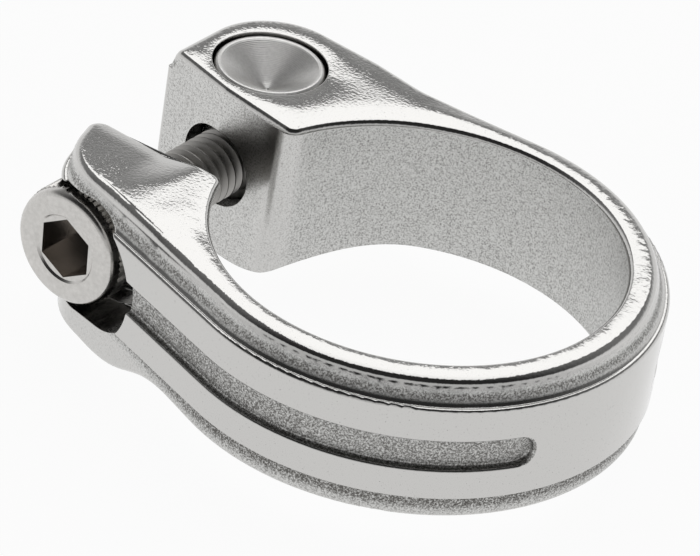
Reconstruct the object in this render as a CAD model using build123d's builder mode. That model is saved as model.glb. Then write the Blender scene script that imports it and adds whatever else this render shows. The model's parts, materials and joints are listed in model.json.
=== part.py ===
"""Seatpost clamp: a cast band, its socket head screw and the barrel nut that the screw pulls on.

Millimetres. The bore axis is Z, with z = 0 on the underside of the ring. The slot and the two ears are
on the -X side. The screw lies along Y, with its head in the ear on the -Y side and the nut in the other.
"""
import os
from math import cos, degrees, radians, sin, tan

from build123d import *

# Ring
bore_diameter = 30.0       # clamps round the top of the seat tube
rim_wall = 1.4             # bore to the outside of the rim
band_step = 1.1            # the polished band stands this far outside the rim
near_end_step = 0.4        # the same at the ends of the two ears, where the band runs out
far_end_step = 0.75
foot_step = 0.8            # the strip below the band stands this far outside the rim
ring_height = 10.8
lip_overhang = 0.6         # the lip rests on the end of the seat tube
lip_thickness = 0.55
foot_round = 0.4           # lower edge of the strip
band_low = 1.8             # lower edge of the polished band
crown_height = 1.8         # from the band's upper edge over the hollow and the bead to the top
band_edge_round = 0.25     # upper edge of the band
ledge = 0.35               # band's edge to the start of the hollow
bead_round = 0.68          # outer edge of the top
lip_round = 0.35           # inner edge of the top, and the far ear's edge along the slot
near_edge_round = 0.8      # near ear's edge along the slot

# Grooves in the polished band
groove_width = 2.3
groove_low = 4.1
groove_depth = 0.55
groove_round = 0.2         # along the mouth and along the floor
groove_end_angle = 23.8    # degrees to each side of the front
groove_far_tail = 5.0      # the far groove ends this far before the nut's axis

# Slot
near_gap = 4.6             # slot faces beside the bore, each measured from the middle plane
far_gap = 3.45
near_splay = 1.0           # degrees that each face opens outwards
far_splay = 6.2
far_flare = 12.5           # degrees, outside the crease at the screw
slot_corner_round = 1.0    # upright edges between slot and bore
crease_round = 2.0

# Ears
ear_drop = 2.65            # the ears reach this far below the ring
drop_start = 5.6           # the underside begins to fall this far inside the bore's edge
drop_end = 4.4             # and ends this far outside it
drop_lean = 6.0            # degrees that the fall leans forward on each side
near_taper = 15.0          # degrees between the near flank and X
foot_taper = 18.5          # the same below the band
near_tail = 5.95           # ear beyond the screw axis, if it reached the middle plane
near_rake = 20.0           # degrees that the ear's end slants back from the middle plane
near_corner_round = 6.5
near_tip_round = 1.3       # upright edge between slot and ear end
far_taper = 6.6            # degrees between the far flank's root and X
far_tail_wall = 1.4        # ear beyond the nut's hole
far_flank_wall = 2.2
far_waist = 4.5            # length of the rise from the waist to the flank
far_corner_round = 5.5
waist_round = 8.0
far_tip_round = 0.6

# Screw, M5
thread_diameter = 5.0
thread_play = 0.05         # the plain shank stands for the thread
screw_length = 20.0
screw_reach = 5.85         # screw axis beyond the bore
screw_height = 4.15        # screw axis above the underside of the ring
head_diameter = 8.8        # over the knurl
head_height = 5.0
head_chamfer = 0.45
tip_chamfer = 0.6
socket_width = 4.1         # across flats
socket_depth = 2.9
socket_mouth = 5.8         # countersunk round the socket
socket_lead = 0.2

# Barrel nut
nut_diameter = 8.0
nut_play = 0.2
nut_inset = 0.2            # below the ear's faces, at both ends
nut_chamfer = 0.2
nut_wall = 0.95            # between the nut's hole and the slot
dimple_diameter = 7.2
drill_point = 118.0        # degrees

# Holes for the screw
passage_width = 6.6
passage_height = 5.8
tip_room = 1.2             # for the screw's tip past the nut's hole
seat_wall = 2.0            # ear left under the head
head_play = 0.55           # pocket round the head
head_gap = 0.45            # head stands off its seat while the clamp is open
pocket_lean_x = 2.9        # the pocket is wider on the ring's side
pocket_lean_z = 0.5
pocket_step = 2.0          # its floor is higher on that side, clear of the bore

bore_radius = bore_diameter / 2
lip_radius = bore_radius - lip_overhang
rim_radius = bore_radius + rim_wall
band_radius = rim_radius + band_step
band_high = ring_height - crown_height
ear_bottom = -ear_drop
ear_height = ring_height + ear_drop
lip_bottom = ring_height - lip_thickness
screw_x = -(bore_radius + screw_reach)
nut_hole_radius = nut_diameter / 2 + nut_play
far_slot_at_screw = far_gap + screw_reach * tan(radians(far_splay))
nut_y = far_slot_at_screw + nut_wall + nut_hole_radius
near_end = screw_x - near_tail
far_end = screw_x - nut_hole_radius - far_tail_wall
far_flank = nut_y + nut_hole_radius + far_flank_wall
near_slot_at_screw = near_gap + screw_reach * tan(radians(near_splay))
seat_y = -(near_slot_at_screw + seat_wall)
head_y = seat_y - head_gap
passage_end = nut_y + nut_hole_radius + tip_room
slot_out = far_end - 2 * band_step


def outline(grow=0, near_grow=0, far_grow=0, taper=near_taper):
    """The rim's outline seen from above, grown by a step at the sides and at the ends of the ears."""
    radius = rim_radius + grow
    near_root = Vector(-radius * sin(radians(taper)), -radius * cos(radians(taper)))
    near_x = near_end - near_grow
    rise = tan(radians(taper))
    rake = tan(radians(near_rake))
    corner_x = (near_x - rake * (near_root.Y + near_root.X * rise)) / (1 - rake * rise)
    near_corner = Vector(corner_x, near_root.Y + (near_root.X - corner_x) * rise)
    far_root = Vector(-radius * sin(radians(far_taper)), radius * cos(radians(far_taper)))
    far_rise = screw_x + nut_hole_radius + far_flank_wall / 3
    waist_x = far_rise + far_waist
    waist = Vector(waist_x, far_root.Y - (far_root.X - waist_x) * tan(radians(far_taper)))
    with BuildSketch() as face:
        with BuildLine():
            FilletPolyline(
                far_root,
                waist,
                (far_rise, far_flank + grow),
                (far_end - far_grow, far_flank + grow),
                (far_end - far_grow, far_gap / 2),
                radius=[waist_round, waist_round, far_corner_round + min(grow, 0)],
            )
            Polyline((far_end - far_grow, far_gap / 2), (near_x, 0))
            FilletPolyline((near_x, 0), near_corner, near_root, radius=near_corner_round + min(grow, 0))
            ThreePointArc(near_root, (radius, 0), far_root)
        make_face()
    return face.sketch


def slot_face(near_round=0, far_round=0):
    """The slot between the ears: a straight near face and a far face with a crease at the screw."""
    near_root = near_gap - bore_radius * tan(radians(near_splay)) + near_round
    far_root = far_gap - bore_radius * tan(radians(far_splay)) + far_round
    far_out = far_slot_at_screw + (screw_x - slot_out) * tan(radians(far_flare)) + far_round
    with BuildSketch() as face:
        with BuildLine():
            Polyline(
                (0, -near_root),
                (slot_out, -near_root + slot_out * tan(radians(near_splay))),
                (slot_out, far_out),
                (screw_x, far_slot_at_screw + far_round),
                (0, far_root),
                close=True,
            )
        make_face()
    return face.sketch


def clamp_face(shape, inner_radius=bore_radius, near_round=0, far_round=0):
    """An outline with the bore and the slot cut out, the slot wider where its edges are rounded off."""
    with BuildSketch() as face:
        add(shape)
        Circle(inner_radius, mode=Mode.SUBTRACT)
        add(slot_face(near_round, far_round), mode=Mode.SUBTRACT)
        inner_corners = face.vertices().sort_by(lambda v: v.X**2 + v.Y**2)[:2]
        fillet(inner_corners, slot_corner_round - far_round)
        ends = face.vertices().filter_by(lambda v: v.X < screw_x - near_tip_round)
        fillet(ends.filter_by(lambda v: v.Y > 0).sort_by(Axis.Y)[:1], far_tip_round - far_round)
        ends = face.vertices().filter_by(lambda v: v.X < screw_x - near_tip_round)
        fillet(ends.filter_by(lambda v: v.Y < 0).sort_by(Axis.Y)[-1:], near_tip_round - near_round)
        crease = face.vertices().sort_by_distance((screw_x, far_slot_at_screw))[:1]
        fillet(crease, crease_round)
    return face.sketch


def crown_face(grow, inner_radius, near_round=0, far_round=0):
    """Section of the crown, which grows less at the ends of the ears, where the band is narrower."""
    shape = outline(grow, min(grow, near_end_step - ledge), min(grow, far_end_step - ledge))
    return clamp_face(shape, inner_radius, near_round, far_round)


def groove_side(side, tail_x):
    """Strip under the band's surface, on one side of the clamp, from its tail to the front end."""
    front_angle = side * radians(groove_end_angle) + side * groove_width / 2 / band_radius
    reach = 2 * band_radius
    with BuildSketch() as strip:
        add(outline(band_step, near_end_step, far_end_step))
        add(outline(band_step - groove_depth, near_end_step, far_end_step), mode=Mode.SUBTRACT)
        with BuildLine():
            Polyline(
                (0, 0),
                (reach * cos(front_angle), reach * sin(front_angle)),
                (reach, side * reach),
                (tail_x, side * reach),
                (tail_x, 0),
                close=True,
            )
        make_face(mode=Mode.INTERSECT)
    return strip.sketch


def groove_end(side):
    """Plane across the groove's round end, with its axis along the radius."""
    angle = side * (groove_end_angle + degrees(groove_width / 2 / band_radius))
    spot = Vector(band_radius - groove_depth, 0, groove_low + groove_width / 2)
    return Plane(spot.rotate(Axis.Z, angle), z_dir=Vector(1, 0, 0).rotate(Axis.Z, angle))


with BuildPart() as grooves:
    for side, tail_x in ((-1, screw_x), (1, screw_x + groove_far_tail)):
        with BuildSketch(Plane.XY.offset(groove_low)):
            add(groove_side(side, tail_x))
        extrude(amount=groove_width)
        with BuildSketch(groove_end(side)):
            Circle(groove_width / 2)
        extrude(amount=2 * groove_depth)
    floor = outline(band_step - groove_depth, near_end_step, far_end_step).wires()[0]
    hollows = grooves.edges().filter_by(Axis.Z, reverse=True)
    hollows = hollows.filter_by(lambda e: floor.distance_to((e.center().X, e.center().Y, 0)) < 0.02)
    fillet(hollows, groove_round)

with BuildPart() as crown:
    # Hollow above the band: shares of its height, of its depth and of the round on the near slot edge
    hollow = ((0, 1, 0), (0.08, 0.8, 0), (0.24, 0.59, 0), (0.48, 0.39, 0), (0.72, 0.24, 0.03), (1, 0, 0.15))
    for up, out, near in hollow:
        with BuildSketch(Plane.XY.offset(band_high + up * (lip_bottom - band_high))):
            add(crown_face(out * (band_step - ledge), bore_radius, near * near_edge_round))
    loft()
    # Bead round the top with the lip inside: shares of its height and of its outer, near and inner rounds
    bead = ((0, 0, 0.15, 0), (0.5, 0.13, 0.34, 0.15), (0.82, 0.4, 0.58, 0.45), (1, 1, 1, 1))
    for up, out, near, inner in bead:
        far = inner * lip_round
        with BuildSketch(Plane.XY.offset(lip_bottom + up * lip_thickness)):
            add(crown_face(-out * bead_round, lip_radius + far, near * near_edge_round, far))
    loft()

with BuildPart() as foot:
    with BuildSketch(Plane.XY.offset(ear_bottom)):
        add(outline(foot_step, taper=foot_taper))
        add(slot_face(), mode=Mode.SUBTRACT)
    extrude(amount=band_low - ear_bottom)
    # Underside, which falls in a soft step from the ring to the ears
    step_front = -(bore_radius - drop_start)
    step_back = -(bore_radius + drop_end)
    step_middle = (step_front + step_back) / 2
    below = ear_bottom - ear_drop
    with BuildSketch(Plane.XZ) as step:
        with BuildLine():
            Bezier((step_front, 0), (step_middle, 0), (step_middle, ear_bottom), (step_back, ear_bottom))
            Polyline(
                (step_back, ear_bottom),
                (step_back, below),
                (2 * band_radius, below),
                (2 * band_radius, 0),
                (step_front, 0),
            )
        make_face()
    for side in (-1, 1):
        lean = (sin(radians(drop_lean)), side * cos(radians(drop_lean)), 0)
        extrude(step.sketch, amount=2 * band_radius, dir=lean, mode=Mode.SUBTRACT)
    fillet(foot.edges().filter_by(GeomType.CIRCLE).filter_by_position(Axis.Z, -0.01, 0.01), foot_round)
    with BuildSketch(Plane.XY.offset(ear_bottom)):
        add(clamp_face(outline(foot_step, taper=foot_taper)))
    extrude(amount=band_low - ear_bottom, mode=Mode.INTERSECT)

with BuildPart() as band:
    with BuildSketch(Plane.XY.offset(band_low)):
        add(outline(band_step, near_end_step, far_end_step))
        add(slot_face(), mode=Mode.SUBTRACT)
    extrude(amount=band_high - band_low)
    land = outline(band_step, near_end_step, far_end_step).wires()[0]
    upper = band.faces().sort_by(Axis.Z)[-1].edges()
    upper = upper.filter_by(lambda e: land.distance_to((e.center().X, e.center().Y, 0)) < 0.01)
    fillet(upper, band_edge_round)
    add(grooves.part, mode=Mode.SUBTRACT)
    mouths = band.edges(Select.LAST).filter_by(Axis.Z, reverse=True)
    mouths = mouths.filter_by(lambda e: land.distance_to((e.center().X, e.center().Y, 0)) < 0.01)
    fillet(mouths, groove_round)
    with BuildSketch(Plane.XY.offset(band_low)):
        add(clamp_face(outline(band_step, near_end_step, far_end_step)))
    extrude(amount=band_high - band_low, mode=Mode.INTERSECT)

with BuildPart() as clamp_band:
    # Rim and ears up to the lip, with the crown on top
    with BuildSketch(Plane.XY.offset(band_low)):
        add(clamp_face(outline()))
    extrude(amount=band_high - band_low)
    add(crown.part)
    # Polished band and the strip below it
    add(band.part)
    add(foot.part)
    # Upright hole for the nut
    with BuildSketch(Plane((screw_x, nut_y, ear_bottom))):
        Circle(nut_hole_radius)
    extrude(amount=ear_height, mode=Mode.SUBTRACT)
    # Pocket for the head, wider towards the ring, and the long hole for the screw
    with BuildSketch(Plane.XZ.offset(-seat_y)):
        with Locations((screw_x, screw_height), (screw_x + pocket_lean_x / 3, screw_height)):
            Circle(head_diameter / 2 + head_play)
        make_hull()
    extrude(amount=pocket_step, mode=Mode.SUBTRACT)
    with BuildSketch(Plane.XZ.offset(pocket_step - seat_y)):
        with Locations((screw_x, screw_height), (screw_x + pocket_lean_x, screw_height + pocket_lean_z)):
            Circle(head_diameter / 2 + head_play)
        make_hull()
    extrude(amount=2 * band_radius, mode=Mode.SUBTRACT)
    with BuildSketch(Plane.XZ.offset(-seat_y)):
        with Locations((screw_x, screw_height)):
            SlotOverall(passage_width, passage_height)
    extrude(amount=seat_y - passage_end, mode=Mode.SUBTRACT)

with BuildPart() as barrel_nut:
    with BuildSketch(Plane((screw_x, nut_y, ear_bottom + nut_inset))):
        Circle(nut_diameter / 2)
    extrude(amount=ear_height - 2 * nut_inset)
    chamfer(barrel_nut.edges().filter_by(GeomType.CIRCLE), nut_chamfer)
    with Locations((screw_x, nut_y, ring_height - nut_inset)):
        Cone(
            0,
            dimple_diameter / 2,
            dimple_diameter / 2 / tan(radians(drill_point / 2)),
            align=(Align.CENTER, Align.CENTER, Align.MAX),
            mode=Mode.SUBTRACT,
        )
    with BuildSketch(Plane.XZ.offset(-nut_y)):
        with Locations((screw_x, screw_height)):
            Circle(thread_diameter / 2)
    extrude(amount=nut_diameter, both=True, mode=Mode.SUBTRACT)

with BuildPart() as clamp_screw:
    head_front = head_y - head_height
    screw_tip = head_y + screw_length
    head_radius = head_diameter / 2
    shank_radius = thread_diameter / 2 - thread_play
    with BuildSketch(Plane((screw_x, 0, screw_height))):
        with BuildLine():
            Polyline(
                (0, head_front + socket_lead),
                (socket_mouth / 2 - socket_lead, head_front + socket_lead),
                (socket_mouth / 2, head_front),
                (head_radius - head_chamfer, head_front),
                (head_radius, head_front + head_chamfer),
                (head_radius, head_y),
                (shank_radius, head_y),
                (shank_radius, screw_tip - tip_chamfer),
                (shank_radius - tip_chamfer, screw_tip),
                (0, screw_tip),
                close=True,
            )
        make_face()
    revolve(axis=Axis((screw_x, 0, screw_height), (0, 1, 0)))
    with BuildSketch(Plane.XZ.offset(-head_front)):
        with Locations((screw_x, screw_height)):
            RegularPolygon(socket_width / 2, 6, major_radius=False)
    extrude(amount=-socket_depth, mode=Mode.SUBTRACT)

os.makedirs("parts", exist_ok=True)
for name, piece in (("clamp_band", clamp_band), ("barrel_nut", barrel_nut), ("clamp_screw", clamp_screw)):
    piece.part.label = name
    export_step(piece.part, f"parts/{name}.step")
    print(name, round(piece.part.volume, 1), piece.part.is_valid, len(piece.solids()))
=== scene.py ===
# %% [markdown]
# # A cast seatpost clamp in Blender
# A seatpost clamp is a split ring that sits on the top of a bicycle's seat tube. A screw draws its two
# ears together, and the ring grips the seatpost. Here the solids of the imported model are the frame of
# the work: Blender gives them their thread, their knurl, their finishes and a studio, and changes no size.

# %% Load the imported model
import json
from math import atan2, ceil, cos, floor, pi, radians

import bmesh
import bpy
from mathutils import Matrix, Quaternion, Vector
from mathutils.kdtree import KDTree


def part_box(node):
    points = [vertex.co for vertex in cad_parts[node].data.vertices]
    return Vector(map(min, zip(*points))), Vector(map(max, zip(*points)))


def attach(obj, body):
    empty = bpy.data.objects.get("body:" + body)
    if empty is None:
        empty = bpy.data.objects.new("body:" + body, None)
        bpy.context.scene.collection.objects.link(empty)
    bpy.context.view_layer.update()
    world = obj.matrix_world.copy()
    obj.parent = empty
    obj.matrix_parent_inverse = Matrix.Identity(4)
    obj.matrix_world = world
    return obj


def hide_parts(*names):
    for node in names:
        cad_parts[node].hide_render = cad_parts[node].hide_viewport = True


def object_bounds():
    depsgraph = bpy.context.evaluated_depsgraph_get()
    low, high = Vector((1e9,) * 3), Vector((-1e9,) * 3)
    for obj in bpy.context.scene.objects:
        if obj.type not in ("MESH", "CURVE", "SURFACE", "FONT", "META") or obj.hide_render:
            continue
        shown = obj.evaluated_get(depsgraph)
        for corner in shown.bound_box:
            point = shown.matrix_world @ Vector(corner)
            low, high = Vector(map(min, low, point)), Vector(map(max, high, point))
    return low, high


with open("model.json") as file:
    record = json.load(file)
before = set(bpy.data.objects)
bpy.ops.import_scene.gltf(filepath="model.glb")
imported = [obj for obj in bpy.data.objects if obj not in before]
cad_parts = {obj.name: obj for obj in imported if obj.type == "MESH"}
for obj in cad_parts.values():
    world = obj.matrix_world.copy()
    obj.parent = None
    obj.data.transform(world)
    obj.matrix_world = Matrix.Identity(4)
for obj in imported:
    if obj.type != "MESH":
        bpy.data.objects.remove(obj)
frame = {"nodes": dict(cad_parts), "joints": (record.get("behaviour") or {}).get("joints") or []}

MM = 0.001
cad_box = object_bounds()
joints = {joint["name"]: Vector(joint["pos_m"]) for joint in frame["joints"]}
screw_axis = joints["screw_turn"]
nut_axis = joints["nut_swivel"]
print("nodes:", sorted(frame["nodes"]), "screw axis", tuple(screw_axis), "nut axis", tuple(nut_axis))

# %% [markdown]
# The camera stands in front of the ring, to its right and above, with a long lens, so that near and far
# edges keep almost the same scale. A long lens can be had by hand, by walking back and zooming in. Here
# the place was worked out from the ring's ellipses, and the small roll turns the picture as it was taken.

# %% Camera
camera_data = bpy.data.cameras.new("camera")
camera_data.lens = 241.97
camera = bpy.data.objects.new("camera", camera_data)
bpy.context.scene.collection.objects.link(camera)
camera.location = Vector((143.0, -225.4, 186.6)) * MM
aim = Vector((-4.81, -0.49, 5.0)) * MM
look = (aim - camera.location).to_track_quat("-Z", "Y")
roll = Quaternion((0, 0, 1), radians(9.26))
camera.rotation_euler = (look @ roll).to_euler()
bpy.context.scene.camera = camera
bpy.context.scene.view_settings.view_transform = "Standard"
print("camera is", round((camera.location - aim).length / MM), "mm from the clamp")

# %% [markdown]
# Every finish below is a tree of nodes. One helper adds a node, sets its options and joins its inputs,
# which keeps a tree as readable as a list. Colours are written as the hex values that a paint program
# shows, and another helper turns them into the linear numbers that light is added up in.

# %% Helpers for the finishes
def linear(hex_colour):
    """The linear colour of an sRGB hex value."""
    shares = [int(hex_colour[i:i + 2], 16) / 255 for i in (1, 3, 5)]
    return [s / 12.92 if s <= 0.04045 else ((s + 0.055) / 1.055) ** 2.4 for s in shares] + [1]


def add_node(tree, kind, inputs=None, **settings):
    """A new node with its options set. An input is a value, or the socket that feeds it."""
    node = tree.nodes.new(kind)
    for name, value in settings.items():
        setattr(node, name, value)
    for name, value in (inputs or {}).items():
        if isinstance(value, bpy.types.NodeSocket):
            tree.links.new(value, node.inputs[name])
        else:
            node.inputs[name].default_value = value
    return node


print("a mid grey of #808080 is", round(linear("#808080")[0], 3), "in linear light")

# %% [markdown]
# Metal shows its surroundings, so the studio is half of its look. White paper lies below and the room is
# pale near the horizon, which gives upright faces an even grey. Above the camera the room is dark, and that
# draws black lines along rounded edges. Such a room can be an image or a sky, but a few nodes steer it best.

# %% White paper
# The paper is pure white to the eye and in mirrors, but a twentieth of it is shaded and holds a soft shadow.
PURE_WHITE = 0.95
HALF_SHEET = 3


def new_material(name):
    """A material with an empty tree but for its output."""
    material = bpy.data.materials.new(name)
    material.use_nodes = True
    tree = material.node_tree
    tree.nodes.clear()
    return material, tree, add_node(tree, "ShaderNodeOutputMaterial")


paper, tree, output = new_material("white_paper")
path = add_node(tree, "ShaderNodeLightPath")
seen = add_node(tree, "ShaderNodeMath", {0: path.outputs["Is Camera Ray"], 1: path.outputs["Is Glossy Ray"]},
                operation="ADD")
seen = add_node(tree, "ShaderNodeMath", {0: seen.outputs[0], 1: path.outputs["Is Transmission Ray"]},
                operation="ADD", use_clamp=True)
share = add_node(tree, "ShaderNodeMath", {0: seen.outputs[0], 1: PURE_WHITE}, operation="MULTIPLY")
matt = add_node(tree, "ShaderNodeBsdfDiffuse", {"Color": linear("#F2F2F2")})
white = add_node(tree, "ShaderNodeEmission", {"Color": (1, 1, 1, 1), "Strength": 1})
mixed = add_node(tree, "ShaderNodeMixShader", {0: share.outputs[0], 1: matt.outputs[0], 2: white.outputs[0]})
tree.links.new(mixed.outputs[0], output.inputs["Surface"])

floor_mesh = bpy.data.meshes.new("floor")
bm = bmesh.new()
bmesh.ops.create_grid(bm, x_segments=1, y_segments=1, size=HALF_SHEET)
bmesh.ops.translate(bm, vec=(0, 0, cad_box[0][2]), verts=bm.verts)
bm.to_mesh(floor_mesh)
bm.free()
floor_sheet = bpy.data.objects.new("floor", floor_mesh)
floor_mesh.materials.append(paper)
bpy.context.scene.collection.objects.link(floor_sheet)
print("floor at", round(cad_box[0][2] / MM, 2), "mm")

# %% Room light
DARK, BEHIND, PALE = 0.03, 0.25, 0.65
to_camera = (camera.location - aim).normalized()
world = bpy.data.worlds.new("studio")
bpy.context.scene.world = world
world.use_nodes = True
tree = world.node_tree
tree.nodes.clear()
output = add_node(tree, "ShaderNodeOutputWorld")
way = add_node(tree, "ShaderNodeTexCoord")
front = add_node(tree, "ShaderNodeVectorMath", {0: way.outputs["Generated"], 1: to_camera},
                 operation="DOT_PRODUCT")
dark_side = add_node(tree, "ShaderNodeMapRange", {"Value": front.outputs["Value"], "From Min": -0.2,
                     "From Max": 0.7, "To Min": BEHIND, "To Max": DARK}, interpolation_type="SMOOTHSTEP")
level = add_node(tree, "ShaderNodeSeparateXYZ", {0: way.outputs["Generated"]})
low = add_node(tree, "ShaderNodeMapRange", {"Value": level.outputs["Z"], "From Min": 0.25, "From Max": 0.5,
               "To Min": PALE, "To Max": 0}, interpolation_type="SMOOTHSTEP")
strength = add_node(tree, "ShaderNodeMath", {0: low.outputs[0], 1: dark_side.outputs[0]}, operation="ADD")
room = add_node(tree, "ShaderNodeBackground", {"Color": (1, 1, 1, 1), "Strength": strength.outputs[0]})
tree.links.new(room.outputs[0], output.inputs["Surface"])
print("room light runs from", DARK, "to", PALE + BEHIND)

# %% [markdown]
# One large softbox hangs behind the clamp. Level tops turn the camera's view up into it, so they come out
# almost white, and a tilt of a few degrees is enough to lose it. A small bright lamp would give hard spots
# in its place, which is why the box is wide and dim.

# %% Softbox
box_data = bpy.data.lights.new("back_softbox", "AREA")
box_data.shape = "RECTANGLE"
box_data.size = 360 * MM
box_data.size_y = 550 * MM
box_data.energy = 0.86
softbox = bpy.data.objects.new("back_softbox", box_data)
softbox.location = Vector((-137, 209, 438)) * MM
softbox.rotation_euler = (aim - softbox.location).to_track_quat("-Z", "Y").to_euler()
bpy.context.scene.collection.objects.link(softbox)
print(softbox.name, "of", round(box_data.energy, 2), "W")

# %% [markdown]
# The clamp itself is one casting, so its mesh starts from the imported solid. A copy of it has its loose
# triangles merged, and edges that turn by more than fifty degrees are kept sharp. The smaller rounds are
# already in the solid, and weighted normals let them shade smoothly while flat faces stay flat.

# %% Merged copies of solids
SHARP = radians(50)
SAME_POINT = 0.001 * MM


def merged_copy(node, name):
    """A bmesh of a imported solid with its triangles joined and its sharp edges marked."""
    bm = bmesh.new()
    bm.from_mesh(frame["nodes"][node].data)
    bmesh.ops.remove_doubles(bm, verts=bm.verts, dist=SAME_POINT)
    bm.normal_update()
    for edge in bm.edges:
        edge.smooth = edge.is_manifold and edge.calc_face_angle(0) < SHARP
    for face in bm.faces:
        face.smooth = True
    print(name, "has", len(bm.faces), "faces and", sum(not edge.smooth for edge in bm.edges), "sharp edges")
    return bm


def finished(bm, name, node, body):
    """The object of a bmesh, which stands for its solid and rides on its body."""
    mesh = bpy.data.meshes.new(name)
    bm.to_mesh(mesh)
    bm.free()
    piece = bpy.data.objects.new(name, mesh)
    bpy.context.scene.collection.objects.link(piece)
    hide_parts(node)
    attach(piece, body)
    return piece


def keep_flat(piece, mode):
    """Weighs the normals of a piece by its faces, so that flat faces shade flat."""
    weighted = piece.modifiers.new("flat_faces_stay_flat", "WEIGHTED_NORMAL")
    weighted.mode = mode
    weighted.keep_sharp = True


bm = merged_copy("clamp_band", "clamp_casting")

# %% [markdown]
# Blasting leaves a grain everywhere, and a wheel then polishes what stands proud. So the finish follows the
# shape: bore, slot, groove, hollow and foot stay matt. It could be painted on by hand. Here numbers on the
# faces tell the parts apart, by height, by distance from the bore's axis and by where a face looks.

# %% Parts of the casting
# Heights above the ring's underside and radii from the bore's axis, in millimetres.
FOOT, LEDGE, BEAD, TOP = 1.85, 9, 10.25, 10.8
GROOVE_LOW, GROOVE_HIGH = 4.08, 6.42
BORE, BAND_INSIDE, CORNER = 15.1, 15.5, 15.9

masks = {name: bm.faces.layers.float.new(name) for name in ("blasted", "slot", "hollow", "foot")}
for face in bm.faces:
    x, y, z = face.calc_center_median() / MM
    radius = (x * x + y * y) ** 0.5
    outward = (face.normal.x * x + face.normal.y * y) / radius
    low = min(vert.co.z for vert in face.verts) / MM
    high = max(vert.co.z for vert in face.verts) / MM
    steep = abs(face.normal.z)
    in_corner = radius < CORNER and x < -13 and abs(y) < 6 and steep < 0.3
    in_bore = high < BEAD + 0.05 and (in_corner or radius < BORE and outward < -0.7)
    in_slot = x < -15.4 and -4.95 < y < 5.6 and abs(face.normal.y) > 0.97
    in_groove = low > GROOVE_LOW and high < GROOVE_HIGH and radius > BAND_INSIDE
    in_hollow = low > LEDGE - 0.01 and high < BEAD + 0.02 and radius > CORNER and steep < 0.95
    if in_bore:
        face[masks["blasted"]] = 1
    elif in_slot:
        face[masks["blasted"]] = 0.8
        face[masks["slot"]] = 1
    elif in_groove:
        face[masks["blasted"]] = 1.7
    elif in_hollow:
        face[masks["hollow"]] = 1
    elif high < FOOT:
        face[masks["foot"]] = 1
print("finish set on", len(bm.faces), "faces")

# %% [markdown]
# A polishing wheel is soft, so it never leaves a flat face: the top falls away a little towards its edges.
# A wide bevel would only round the rim. Here the level top is cut into a fine grid, and every vertex sinks
# by its distance from the nearest edge, so that the softbox's reflection ends in the right places.

# %% Grid on the polished top
GRID = 0.3
LEVEL = 0.9995
ON_PLANE = 1e-7


def top_faces(bm):
    """The faces of the level top."""
    return [face for face in bm.faces
            if face.normal.z > LEVEL and face.calc_center_median().z > (TOP - 0.01) * MM]


def edges_of_top(bm):
    """The edges round the level top and round its holes."""
    flat = set(top_faces(bm))
    return {edge for face in flat for edge in face.edges if not set(edge.link_faces) <= flat}


def on_grid(edge):
    """Whether an edge lies along a line of the grid."""
    start, end = (vert.co / (GRID * MM) for vert in edge.verts)
    return any(max(abs(start[i] - round(start[i])), abs(start[i] - end[i])) < 0.001 for i in (0, 1))


# The lines left from the solid's own triangles are dissolved, so that the grid alone divides the top.
parts = list(dict.fromkeys(item for face in top_faces(bm) for item in (*face.verts, *face.edges, face)))
for axis in (Vector((1, 0, 0)), Vector((0, 1, 0))):
    first, last = (axis.dot(corner) / (GRID * MM) for corner in cad_box)
    for step in range(ceil(first), floor(last) + 1):
        parts = bmesh.ops.bisect_plane(bm, geom=parts, dist=ON_PLANE, plane_co=axis * step * GRID * MM,
                                       plane_no=axis)["geom"]
outer = edges_of_top(bm)
within = dict.fromkeys(edge for face in top_faces(bm) for edge in face.edges if edge not in outer)
bmesh.ops.dissolve_edges(bm, edges=[edge for edge in within if not on_grid(edge)], use_verts=True)
bm.normal_update()
bmesh.ops.triangulate(bm, faces=top_faces(bm))
print("top has", len(top_faces(bm)), "faces")

# %% Crown of the polished top
# The sink at the rim and how far in it reaches, in millimetres. The ears are flatter than the ring.
CROWN, REACH = 0.16, 2.4
NEAR_EAR, FAR_EAR = 0.8, 0.4
SAMPLES = 8
SMOOTHINGS = 5


def fade(value, start, end):
    """A soft share from 0 at start to 1 at end."""
    share = min(max((value - start) / (end - start), 0), 1)
    return share * share * (3 - 2 * share)


outer = edges_of_top(bm)
rim = {vert for edge in outer for vert in edge.verts}
inside = {vert for face in top_faces(bm) for vert in face.verts} - rim
points = [edge.verts[0].co.lerp(edge.verts[1].co, number / SAMPLES)
          for edge in outer for number in range(SAMPLES)]
near_rim = KDTree(len(points))
for number, point in enumerate(points):
    near_rim.insert(point, number)
near_rim.balance()
from_rim = {vert: near_rim.find(vert.co)[2] / MM for vert in inside}
for vert in bm.verts:
    spot = vert.co / MM
    share = max(1 - from_rim[vert] / REACH, 0) ** 2 if vert in inside else fade(spot.z, 10.1, TOP)
    flatter = NEAR_EAR * fade(spot.x, -10.5, -13.5) if spot.y < 0 else FAR_EAR * fade(spot.x, -7, -11)
    vert.co.z -= CROWN * MM * share * (1 - flatter)
clear_of_rim = [vert for vert in inside if from_rim[vert] > GRID]
for turn in range(SMOOTHINGS):
    bmesh.ops.smooth_vert(bm, verts=clear_of_rim, factor=0.5, use_axis_z=True)
print("crown has", len(inside), "vertices inside and", len(rim), "on its rims")

# %% [markdown]
# The tip of the near ear was ground lower towards the slot. A bend modifier could tip it, but the change is
# a few tenths of a millimetre, so the vertices near the tip are moved by a soft share of that slope. Then
# the edges where hollow, ledge and bead meet are marked sharp, and the casting takes its solid's place.

# %% Lean of the near ear
# The slope and the place in Y where it starts, and the extra drop at the slot's edge, in millimetres.
SLOPE, SLOPE_START, EDGE_DROP = 0.065, -13, 0.12
AT_HEIGHT = 0.003 * MM


def tip_share(spot):
    """The share of the near ear's tip in a spot, in millimetres."""
    return fade(spot.x, -15, -19) if spot.y < -4 else 0


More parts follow.
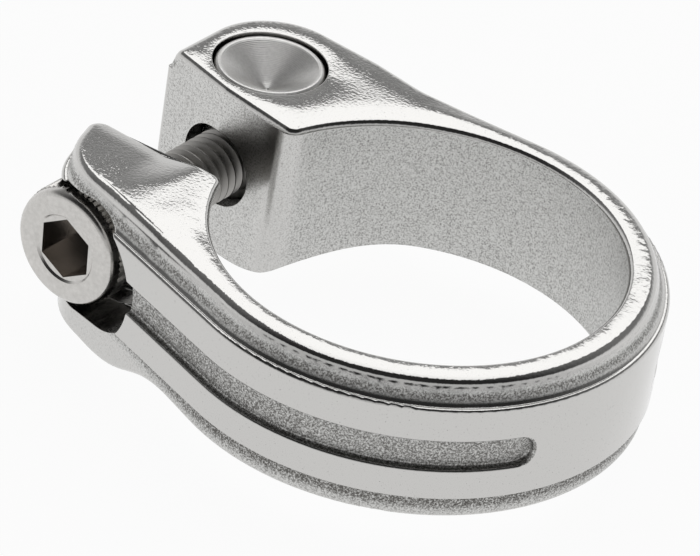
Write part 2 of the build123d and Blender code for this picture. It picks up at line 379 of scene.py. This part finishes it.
for vert in bm.verts:
    spot = vert.co / MM
    share = tip_share(spot) * fade(spot.z, LEDGE, 10.7)
    drop = SLOPE * (spot.y - SLOPE_START) + EDGE_DROP * fade(spot.y, -6.5, -4.5)
    vert.co.z -= share * drop * MM
bm.normal_update()
for edge in bm.edges:
    at_joint = any(all(abs(vert.co.z - height * MM) < AT_HEIGHT for vert in edge.verts)
                   for height in (LEDGE, BEAD))
    if at_joint or edge.calc_face_angle(0) > SHARP:
        edge.smooth = False
band = finished(bm, "clamp_casting", "clamp_band", "band")
keep_flat(band, "FACE_AREA_WITH_ANGLE")
print("casting has", len(band.data.polygons), "faces")

# %% [markdown]
# Blasted steel is matt, with dark pits a tenth or two of a millimetre wide, and polished steel mirrors the
# room through a faint grain. One material holds both. It mixes them by the numbers on the faces, faded by
# height and by distance from the bore's corner, because a wheel leaves no sharp line.

# %% Where the casting is blasted, with painted shade on its foot
PER_MM = (1 / MM, 1 / MM, 1 / MM)
casting, tree, output = new_material("cast_stainless_blasted_and_polished")
place = add_node(tree, "ShaderNodeTexCoord")
in_mm = add_node(tree, "ShaderNodeMapping", {"Vector": place.outputs["Object"], "Scale": PER_MM})
axes = add_node(tree, "ShaderNodeSeparateXYZ", {0: in_mm.outputs[0]})
all_over = add_node(tree, "ShaderNodeAttribute", attribute_name="blasted")
hollow = add_node(tree, "ShaderNodeAttribute", attribute_name="hollow")
foot = add_node(tree, "ShaderNodeAttribute", attribute_name="foot")
up_hollow = add_node(tree, "ShaderNodeMapRange", {"Value": axes.outputs["Z"], "From Min": 9.6,
                     "From Max": 10.15, "To Min": 1.7, "To Max": 0}, interpolation_type="SMOOTHSTEP")
off_ledge = add_node(tree, "ShaderNodeMapRange", {"Value": axes.outputs["Z"], "From Min": LEDGE,
                     "From Max": 9.45}, interpolation_type="SMOOTHSTEP")
mid_hollow = add_node(tree, "ShaderNodeMath", {0: up_hollow.outputs[0], 1: off_ledge.outputs[0]},
                      operation="MULTIPLY")
# The foot is blasted towards the band. Past full blasting its pits are painted darker and denser there, as
# painted shade under the band.
foot_blasting_and_shade = add_node(tree, "ShaderNodeMapRange", {"Value": axes.outputs["Z"], "From Min": -0.2, "From Max": 1.4,
                   "To Min": 0.2, "To Max": 2.2}, interpolation_type="SMOOTHSTEP")
level = add_node(tree, "ShaderNodeMapping", {"Vector": in_mm.outputs[0], "Scale": (1, 1, 0)})
from_corner = add_node(tree, "ShaderNodeVectorMath", {0: level.outputs[0], 1: (-14.7, 3.6, 0)},
                       operation="DISTANCE")
off_corner = add_node(tree, "ShaderNodeMapRange", {"Value": from_corner.outputs["Value"], "From Min": 0.7,
                      "From Max": 2.2, "To Min": 0.4}, interpolation_type="SMOOTHSTEP")
skin_and_shade = add_node(tree, "ShaderNodeMath", {0: all_over.outputs["Fac"], 1: off_corner.outputs[0]},
                operation="MULTIPLY")
skin_and_shade = add_node(tree, "ShaderNodeMath", {0: hollow.outputs["Fac"], 1: mid_hollow.outputs[0],
                2: skin_and_shade.outputs[0]}, operation="MULTIPLY_ADD")
skin_and_shade = add_node(tree, "ShaderNodeMath", {0: foot.outputs["Fac"], 1: foot_blasting_and_shade.outputs[0], 2: skin_and_shade.outputs[0]},
                operation="MULTIPLY_ADD")
print("blasting is mixed by", len(tree.nodes), "nodes")

# %% Colours of the cast steel
# Pits give the matt parts their sparkle of light and dark, and a few nicks are left in the polish.
GRIT_SIZE = 0.13
grit = add_node(tree, "ShaderNodeTexNoise", {"Vector": in_mm.outputs[0], "Scale": 1 / GRIT_SIZE, "Detail": 4,
                "Roughness": 0.7})
# Past full blasting the pits grow darker and denser: denser grit in the groove and hollow, and painted shade
# on the foot.
pits_and_painted_shade = add_node(tree, "ShaderNodeMapRange", {"Value": skin_and_shade.outputs[0], "From Min": 1, "From Max": 2})
dense = add_node(tree, "ShaderNodeMath", {0: pits_and_painted_shade.outputs[0], 1: -0.1, 2: grit.outputs["Fac"]},
                 operation="MULTIPLY_ADD")
specks = add_node(tree, "ShaderNodeMapRange", {"Value": dense.outputs[0], "From Min": 0.36, "From Max": 0.54})
pit_and_shade_colour = add_node(tree, "ShaderNodeMix", {0: pits_and_painted_shade.outputs[0], 6: linear("#8C8B89"), 7: linear("#5C5A57")},
                      data_type="RGBA")
blasted_colour = add_node(tree, "ShaderNodeMix", {0: specks.outputs[0], 6: pit_and_shade_colour.outputs[2],
                          7: linear("#D3D3D1")}, data_type="RGBA")
nicks = add_node(tree, "ShaderNodeMapRange", {"Value": grit.outputs["Fac"], "From Min": 0.3, "From Max": 0.37})
buffed_colour = add_node(tree, "ShaderNodeMix", {0: nicks.outputs[0], 6: linear("#929190"),
                         7: linear("#C7C6C4")}, data_type="RGBA")
colour = add_node(tree, "ShaderNodeMix", {0: skin_and_shade.outputs[0], 6: buffed_colour.outputs[2],
                  7: blasted_colour.outputs[2]}, data_type="RGBA")
print("grit is", GRIT_SIZE, "mm wide")

# %% Surface of the cast steel
# A slow ripple and a fine dust of scratches break up the edge of a reflection, and edges are worn round.
WAVE_SIZE, DUST_SIZE = 6, 0.22
slot = add_node(tree, "ShaderNodeAttribute", attribute_name="slot")
matt = add_node(tree, "ShaderNodeMapRange", {"Value": skin_and_shade.outputs[0], "To Min": 0.09, "To Max": 0.4})
rough = add_node(tree, "ShaderNodeMath", {0: slot.outputs["Fac"], 1: -0.12, 2: matt.outputs[0]},
                 operation="MULTIPLY_ADD")
worn = add_node(tree, "ShaderNodeBevel", {"Radius": 0.1 * MM}, samples=8)
wave = add_node(tree, "ShaderNodeTexNoise", {"Vector": in_mm.outputs[0], "Scale": 1 / WAVE_SIZE, "Detail": 1})
ripple = add_node(tree, "ShaderNodeBump", {"Height": wave.outputs["Fac"], "Distance": 0.1 * MM,
                  "Normal": worn.outputs[0]})
dust = add_node(tree, "ShaderNodeTexNoise", {"Vector": in_mm.outputs[0], "Scale": 1 / DUST_SIZE, "Detail": 1})
buffed = add_node(tree, "ShaderNodeMapRange", {"Value": skin_and_shade.outputs[0], "To Min": 0.009 * MM, "To Max": 0})
scuffed = add_node(tree, "ShaderNodeBump", {"Height": dust.outputs["Fac"], "Distance": buffed.outputs[0],
                   "Normal": ripple.outputs[0]})
pitted = add_node(tree, "ShaderNodeMapRange", {"Value": skin_and_shade.outputs[0], "To Min": 0, "To Max": 0.02 * MM})
grain = add_node(tree, "ShaderNodeBump", {"Height": grit.outputs["Fac"], "Distance": pitted.outputs[0],
                 "Normal": scuffed.outputs[0]})
steel = add_node(tree, "ShaderNodeBsdfPrincipled", {"Base Color": colour.outputs[2], "Metallic": 1,
                 "Roughness": rough.outputs[0], "Normal": grain.outputs[0]})
tree.links.new(steel.outputs[0], output.inputs["Surface"])
band.data.materials.append(casting)
print("cast steel has", len(tree.nodes), "nodes")

# %% [markdown]
# The barrel nut is a short bar with the mark of a drill's point in its end. A cone could be modelled anew,
# but the solid already has its size. So it is copied, and flat cuts through the cone give it rings of
# vertices. Then only its very tip shares the apex's one normal, and the cone shades evenly.

# %% Barrel nut
CUT_DEPTHS = (0.1, 0.4, 0.8, 1.2, 1.6, 1.9, 2.05, 2.12)
bm = merged_copy("barrel_nut", "barrel_nut_turned")
nut_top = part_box("barrel_nut")[1].z
for depth in CUT_DEPTHS:
    bmesh.ops.bisect_plane(bm, geom=bm.verts[:] + bm.edges[:] + bm.faces[:], dist=ON_PLANE,
                           plane_co=(0, 0, nut_top - depth * MM), plane_no=(0, 0, 1))
for face in bm.faces:
    face.smooth = True
nut = finished(bm, "barrel_nut_turned", "barrel_nut", "nut")
keep_flat(nut, "FACE_AREA")
print("nut has", len(nut.data.polygons), "faces")

# %% [markdown]
# A lathe leaves fine rings, and they pull the light into a fan that runs to the middle. An anisotropic
# shader gives such a fan too, but it needs a tangent on every face. Here a wave of rings round the nut's
# axis is a small bump. The rings are drawn coarser than real ones, to be seen.

# %% Turned stainless steel
RING_PITCH = 0.12
turned, tree, output = new_material("turned_stainless")
place = add_node(tree, "ShaderNodeTexCoord")
centred = add_node(tree, "ShaderNodeMapping", {"Vector": place.outputs["Object"], "Location": -nut_axis})
in_mm = add_node(tree, "ShaderNodeMapping", {"Vector": centred.outputs[0], "Scale": PER_MM})
rings = add_node(tree, "ShaderNodeTexWave", {"Vector": in_mm.outputs[0], "Scale": pi / 10 / RING_PITCH,
                 "Distortion": 0.4, "Detail": 1}, wave_type="RINGS", rings_direction="Z")
fleck = add_node(tree, "ShaderNodeTexNoise", {"Vector": in_mm.outputs[0], "Scale": 1 / 0.25, "Detail": 2})
tone = add_node(tree, "ShaderNodeMix", {0: fleck.outputs["Fac"], 6: linear("#C2C1BF"), 7: linear("#E0DFDD")},
                data_type="RGBA")
marks = add_node(tree, "ShaderNodeBump", {"Height": rings.outputs["Fac"], "Distance": 0.006 * MM})
steel = add_node(tree, "ShaderNodeBsdfPrincipled", {"Base Color": tone.outputs[2], "Metallic": 1,
                 "Roughness": 0.36, "Normal": marks.outputs[0]})
tree.links.new(steel.outputs[0], output.inputs["Surface"])
nut.data.materials.append(turned)
print("rings on the nut are", RING_PITCH, "mm apart")

# %% [markdown]
# The screw is a standard socket head cap screw. Its head is knurled for turning by hand, its socket takes
# a hexagon key, and its thread is a helix. A helix is what the spin operator makes when each of its steps
# also moves along the axis: one tooth of the thread goes round, and each turn joins the one before.

# %% Screw head
# Radii and depths behind the face, in millimetres: first the rounded edge, then the knurled ridges.
EDGE = ((3.8, 0), (3.97, 0.05), (4.16, 0.2), (4.27, 0.42), (4.29, 0.75))
RIDGES = ((4.4, 0.9), (4.4, 4.6))
KNURLS = 60
VALLEY = 0.971
screw_low, screw_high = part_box("clamp_screw")
head_height = 5.0 * MM
mouth = 2.6 * MM


def next_ring(bm, edges, lift=0, grow=1):
    """Extrudes a ring of edges, moves it along Z and scales it round the axis."""
    new = bmesh.ops.extrude_edge_only(bm, edges=edges)["geom"]
    verts = [item for item in new if isinstance(item, bmesh.types.BMVert)]
    bmesh.ops.translate(bm, vec=(0, 0, lift), verts=verts)
    bmesh.ops.scale(bm, vec=(grow, grow, 1), verts=verts)
    return [item for item in new if isinstance(item, bmesh.types.BMEdge)]


bm = bmesh.new()
bmesh.ops.create_circle(bm, segments=2 * KNURLS, radius=mouth)
rim = bm.edges[:]
ring, reached, depth = rim, mouth, 0
for radius, z in EDGE + RIDGES:
    ring = next_ring(bm, ring, z * MM - depth, radius * MM / reached)
    reached, depth = radius * MM, z * MM
    if (radius, z) in RIDGES:
        around = sorted({vert for edge in ring for vert in edge.verts},
                        key=lambda vert: vert.co.xy.angle_signed((1, 0)))
        bmesh.ops.scale(bm, vec=(VALLEY, VALLEY, 1), verts=around[::2])
back = next_ring(bm, ring, head_height - depth, 0.955)
back = next_ring(bm, back, 0, 1.5 * MM / reached)
print("head has", KNURLS, "knurls and", len(bm.faces), "faces so far")

# %% Screw socket
lead = 0.15 * MM
across_flats = 4.1 * MM
socket_depth = 2.9 * MM
socket_turn = radians(27)
front = next_ring(bm, rim, lead, (mouth - lead) / mouth)
outline = next_ring(bm, front)
for vert in {vert for edge in outline for vert in edge.verts}:
    turn = atan2(vert.co.y, vert.co.x) - socket_turn
    radius = across_flats / 2 / cos(turn % (pi / 3) - pi / 6)
    vert.co.xy = vert.co.xy.normalized() * radius
wall = next_ring(bm, outline, socket_depth - lead)
bmesh.ops.edgeloop_fill(bm, edges=wall)
# The socket's walls and floor carry a number, by which the material paints them a darker grey.
socket_faces = bm.faces.layers.float.new("socket")
for face in {face for edge in wall for face in edge.link_faces}:
    face[socket_faces] = 1
bmesh.ops.edgeloop_fill(bm, edges=back)
print("socket is", round(socket_depth / MM, 2), "mm deep")

# %% Screw thread
# The tooth is given by radii and shares of the pitch. The turns are cut off inside the head and at the tip.
STEPS = 48
pitch = 0.8 * MM
crest = 2.45 * MM
root = crest - 0.613 * pitch
reach = screw_high.y - screw_low.y
turns = int((reach - head_height) / pitch) + 2
tooth = [bm.verts.new((radius, 0, head_height - pitch + share * pitch)) for radius, share in (
    (root, 0), (crest, 0.38), (crest, 0.50), (root, 0.88), (root, 1))]
profile = [bm.edges.new(pair) for pair in zip(tooth, tooth[1:])]
before = set(bm.faces)
bmesh.ops.spin(bm, geom=tooth + profile, cent=(0, 0, 0), axis=(0, 0, 1), dvec=(0, 0, pitch / STEPS),
               angle=2 * pi * turns, steps=STEPS * turns)
seams = {vert for face in bm.faces if face not in before for vert in face.verts}
bmesh.ops.remove_doubles(bm, verts=list(seams), dist=0.002 * MM)
for height, way in ((head_height - 0.3 * MM, -1), (reach, 1)):
    thread = [face for face in bm.faces if face.calc_center_median().xy.length < 1.05 * crest
              and face.calc_center_median().z > head_height - 2 * pitch and len(face.verts) < 6]
    parts = {item for face in thread for item in (*face.verts, *face.edges, face)}
    bmesh.ops.bisect_plane(bm, geom=list(parts), dist=1e-8, plane_co=(0, 0, height), plane_no=(0, 0, way),
                           clear_outer=True)
bmesh.ops.holes_fill(bm, edges=[edge for edge in bm.edges if edge.is_boundary])
bmesh.ops.recalc_face_normals(bm, faces=bm.faces)
print("thread has", turns, "turns and ends", round(reach / MM, 2), "mm behind the face")

# %% Screw in place
KNURL_SHARP = radians(28)
to_place = Matrix.Translation((screw_axis.x, screw_low.y, screw_axis.z)) @ Matrix.Rotation(-pi / 2, 4, "X")
bmesh.ops.transform(bm, matrix=to_place, verts=bm.verts)
bm.normal_update()
for edge in bm.edges:
    edge.smooth = edge.is_manifold and edge.calc_face_angle(0) < KNURL_SHARP
for face in bm.faces:
    face.smooth = True
screw = finished(bm, "socket_screw", "clamp_screw", "screw")
print("screw has", len(screw.data.polygons), "faces")

# %% [markdown]
# The head of such a screw is pressed cold, which leaves its face bright and lightly clouded. Its socket is
# painted a darker, warmer grey, and its rolled thread is a rougher satin whose colour is painted darker, as
# painted shade between the ears. Three materials could share the mesh. One is enough here, because the
# socket's faces carry a number and the shank begins at a known place.

# %% Cold headed stainless steel
shank_start = (screw_low.y + head_height) / MM
headed, tree, output = new_material("cold_headed_stainless")
place = add_node(tree, "ShaderNodeTexCoord")
in_mm = add_node(tree, "ShaderNodeMapping", {"Vector": place.outputs["Object"], "Scale": PER_MM})
fleck = add_node(tree, "ShaderNodeTexNoise", {"Vector": in_mm.outputs[0], "Scale": 1 / 0.3, "Detail": 3})
tone = add_node(tree, "ShaderNodeMix", {0: fleck.outputs["Fac"], 6: linear("#B8B6B3"), 7: linear("#D6D4D1")},
                data_type="RGBA")
along = add_node(tree, "ShaderNodeSeparateXYZ", {0: in_mm.outputs[0]})
shank = add_node(tree, "ShaderNodeMapRange", {"Value": along.outputs["Y"], "From Min": shank_start - 0.1,
                 "From Max": shank_start + 0.1})
# The shank's colour is painted darker, as painted shade between the ears, over its real rougher satin.
thread_painted_darker = add_node(tree, "ShaderNodeMix", {0: shank.outputs[0], 6: tone.outputs[2], 7: linear("#A3A19E")},
                  data_type="RGBA")
socket = add_node(tree, "ShaderNodeAttribute", attribute_name="socket")
# The socket's walls and floor are painted a darker, warmer grey.
socket_darker_grey = add_node(tree, "ShaderNodeMix", {0: socket.outputs["Fac"], 6: thread_painted_darker.outputs[2], 7: linear("#AEA9A4")},
                 data_type="RGBA")
rough = add_node(tree, "ShaderNodeMapRange", {"Value": shank.outputs[0], "To Min": 0.22, "To Max": 0.42})
marks = add_node(tree, "ShaderNodeBump", {"Height": fleck.outputs["Fac"], "Distance": 0.003 * MM})
steel = add_node(tree, "ShaderNodeBsdfPrincipled", {"Base Color": socket_darker_grey.outputs[2], "Metallic": 1,
                 "Roughness": rough.outputs[0], "Normal": marks.outputs[0]})
tree.links.new(steel.outputs[0], output.inputs["Surface"])
screw.data.materials.append(headed)
print("shank starts at", round(shank_start, 2), "mm along the screw's axis")
